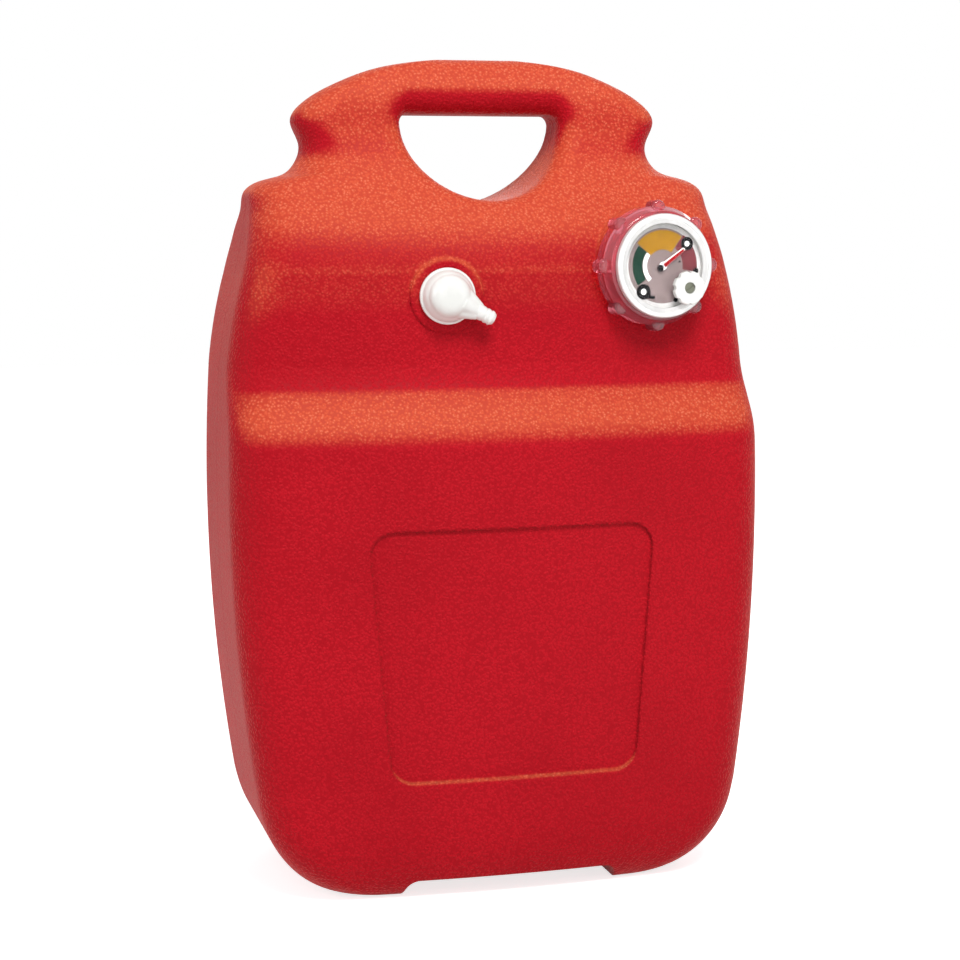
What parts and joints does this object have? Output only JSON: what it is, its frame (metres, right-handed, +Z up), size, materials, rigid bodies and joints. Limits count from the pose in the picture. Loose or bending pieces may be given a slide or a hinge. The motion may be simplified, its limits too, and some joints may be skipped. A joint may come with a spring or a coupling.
{
  "type": "outboard fuel tank",
  "caption": "Upright portable fuel tank with carrying handle, screwed filler cap with float gauge and air vent, and a swivelling barbed hose elbow.",
  "frame": {"origin": "on the ground plane under the middle of the tank", "axes": "+Z up, +X to the tank's right as seen from its front, +Y to the tank's back; the front with the fittings faces -Y"},
  "size_m": [0.34, 0.1902, 0.52],
  "materials": {
    "tank_plastic": "fine leather grain",
    "nut_plastic": "glossy, slightly see-through",
    "white_plastic": "glossy",
    "housing_plastic": "satin",
    "lens_clear": "clear polished",
    "dial_print": "printed",
    "needle_red": "painted",
    "steel": "drawn",
    "strip_metal": "rolled",
    "magnet": "nickel plated",
    "seal_rubber": "matte",
    "float_foam": "closed foam",
    "tube_plastic": "matte"
  },
  "bodies": {
    "tank": {"tank_shell": "tank_plastic", "neck_gasket": "seal_rubber", "pickup_washer": "seal_rubber", "pickup_base": "white_plastic", "lower_spigot_seal": "seal_rubber", "upper_spigot_seal": "seal_rubber", "dip_tube": "tube_plastic", "strainer": "tube_plastic"},
    "gauge": {"gauge_housing": "housing_plastic", "gauge_bezel": "white_plastic", "gauge_lens": "lens_clear", "dial_face": "dial_print", "cage_plate": "tube_plastic", "cage_foot": "tube_plastic", "guide_rod_right": "steel", "guide_rod_left": "steel"},
    "nut": {"ring_nut": "nut_plastic"},
    "vent": {"vent_knob": "white_plastic", "vent_seal": "seal_rubber"},
    "float": {"gauge_float": "float_foam", "float_driver": "white_plastic"},
    "strip": {"twisted_strip": "strip_metal", "drive_magnet": "magnet"},
    "needle": {"gauge_needle": "needle_red", "needle_spindle": "steel", "follower_magnet": "magnet"},
    "elbow": {"pickup_elbow": "white_plastic"}
  },
  "joints": [
    {"name": "gauge_lift", "type": "slide", "parent": "tank", "child": "gauge", "axis": [0.1061, -0.9944, 0], "range_m": [0, 0.01]},
    {"name": "ring_nut_turn", "type": "hinge", "parent": "gauge", "child": "nut", "pos_m": [0.0955, -0.06871, 0.3895], "axis": [0.1061, -0.9944, 0], "range_deg": [0, 900]},
    {"name": "vent_knob_turn", "type": "hinge", "parent": "gauge", "child": "vent", "pos_m": [0.11244, -0.08702, 0.3758], "axis": [0.1061, -0.9944, 0], "range_deg": [0, 180]},
    {"name": "float_slide", "type": "slide", "parent": "gauge", "child": "float", "axis": [0.1061, -0.9944, 0], "range_m": [-0.026, 0.092]},
    {"name": "strip_turn", "type": "hinge", "parent": "gauge", "child": "strip", "pos_m": [0.0955, -0.06871, 0.3895], "axis": [0.1061, -0.9944, 0], "range_deg": [-50.88, 179.52]},
    {"name": "needle_turn", "type": "hinge", "parent": "gauge", "child": "needle", "pos_m": [0.0955, -0.06871, 0.3895], "axis": [0.1061, -0.9944, 0], "range_deg": [-50.88, 179.52]},
    {"name": "elbow_swivel", "type": "hinge", "parent": "tank", "child": "elbow", "pos_m": [-0.037, -0.07324, 0.3724], "axis": [-0.0411, -0.9992, 0], "continuous": true}
  ],
  "couplings": [
    {"joint": "gauge_lift", "follows": "ring_nut_turn", "m_per_rad": 0.00063662},
    {"joint": "strip_turn", "follows": "float_slide", "rad_per_m": 34.019},
    {"joint": "needle_turn", "follows": "float_slide", "rad_per_m": 34.019}
  ]
}
